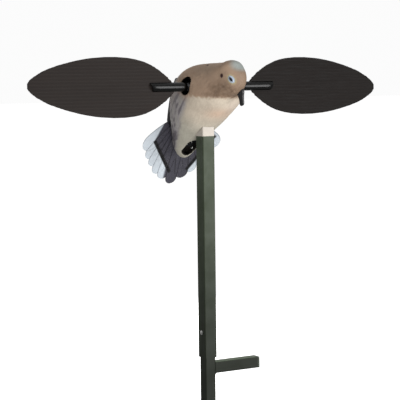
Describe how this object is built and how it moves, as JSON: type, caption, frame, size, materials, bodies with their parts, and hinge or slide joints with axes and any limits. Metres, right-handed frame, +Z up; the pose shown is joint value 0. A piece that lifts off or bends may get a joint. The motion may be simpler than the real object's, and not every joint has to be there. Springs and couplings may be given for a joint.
{
  "type": "motion wing decoy",
  "caption": "Dove-shaped field decoy on a square ground stake with a foot step; a motor in the hollow body spins two leaf-shaped wings.",
  "frame": {"origin": "on the pole's axis at the underside of the foot step, which is the ground line when the stake is pushed in", "axes": "+Z up along the pole, the bird heads towards -Y, the wings' shaft lies along X with the bird's own left wing on +X, and the foot step points to +X"},
  "size_m": [0.5524, 0.188, 0.596],
  "materials": {
    "pole_paint": "satin olive green powder coat",
    "black_plug": "satin moulded end plug in the pole's colour",
    "bright_steel": "bright plated steel",
    "dark_steel": "black oxide",
    "cream_plastic": "moulded cream plastic",
    "feather_paint": "moulded shell with airbrushed dove plumage",
    "tail_paint": "airbrushed slate grey feathers with pale tips",
    "beak_gloss": "gloss black",
    "eye_gloss": "painted pale ring with a dark pupil",
    "black_plastic": "black moulded plastic",
    "cell_wrap": "plain shrink-wrapped cell",
    "coupler_steel": "turned steel",
    "wing_sheet": "fluted twin-wall sheet, dark brown front",
    "spar_rod": "dark fibre rod",
    "socket_gloss": "gloss black",
    "lead_sheath": "black flexible sheath"
  },
  "bodies": {
    "stake": {"lower_tube": "pole_paint", "stake_point": "pole_paint", "foot_step": "pole_paint", "step_end_cap": "black_plug", "step_gusset": "pole_paint", "upper_tube": "pole_paint"},
    "snap": {"snap_button": "bright_steel", "snap_spring": "bright_steel"},
    "bird": {"mount_post": "cream_plastic", "motor_frame": "bright_steel", "frame_screws": "bright_steel", "motor_strap": "bright_steel", "strap_screws": "bright_steel", "motor_can": "bright_steel", "motor_end_bell": "black_plastic", "battery_box": "black_plastic", "battery_contacts": "bright_steel", "battery_1": "cell_wrap", "battery_2": "cell_wrap", "battery_3": "cell_wrap", "battery_4": "cell_wrap", "cover_hinge_pin": "bright_steel", "cover_hinge_lugs": "black_plastic", "switch_plate": "black_plastic", "switch_body": "black_plastic", "switch_nut": "bright_steel", "body_shell": "feather_paint", "beak": "beak_gloss", "eyes": "eye_gloss", "tail_fan": "tail_paint", "motor_lead": "lead_sheath"},
    "hatch": {"back_cover": "black_plastic"},
    "toggle": {"switch_lever": "bright_steel"},
    "rotor": {"motor_shaft": "bright_steel", "shaft_coupler_left": "coupler_steel", "shaft_coupler_right": "coupler_steel", "wing_axle_left": "bright_steel", "wing_axle_right": "bright_steel", "set_screws": "dark_steel"},
    "wing_left": {"wing_panel_left": "wing_sheet", "wing_spar_left": "spar_rod", "wing_socket_left": "socket_gloss"},
    "wing_right": {"wing_panel_right": "wing_sheet", "wing_spar_right": "spar_rod", "wing_socket_right": "socket_gloss"}
  },
  "joints": [
    {"name": "button_press", "type": "slide", "parent": "stake", "child": "snap", "axis": [1, 0, 0], "range_m": [0, 0.0037], "stiffness_N_per_m": 1500},
    {"name": "bird_lift", "type": "slide", "parent": "stake", "child": "bird", "axis": [0, 0, 1], "range_m": [0, 0.036]},
    {"name": "wing_spin", "type": "hinge", "parent": "bird", "child": "rotor", "pos_m": [0, -0.02, 0.4], "axis": [1, 0, 0], "continuous": true},
    {"name": "left_wing_pull", "type": "slide", "parent": "rotor", "child": "wing_left", "axis": [1, 0, 0], "range_m": [0, 0.0155]},
    {"name": "right_wing_pull", "type": "slide", "parent": "rotor", "child": "wing_right", "axis": [-1, 0, 0], "range_m": [0, 0.0155]},
    {"name": "hatch_hinge", "type": "hinge", "parent": "bird", "child": "hatch", "pos_m": [0, 0.03426, 0.41403], "axis": [1, 0, 0], "range_deg": [0, 100]},
    {"name": "switch_toggle", "type": "hinge", "parent": "bird", "child": "toggle", "pos_m": [0, 0.04341, 0.32071], "axis": [1, 0, 0], "range_deg": [0, 12]}
  ]
}
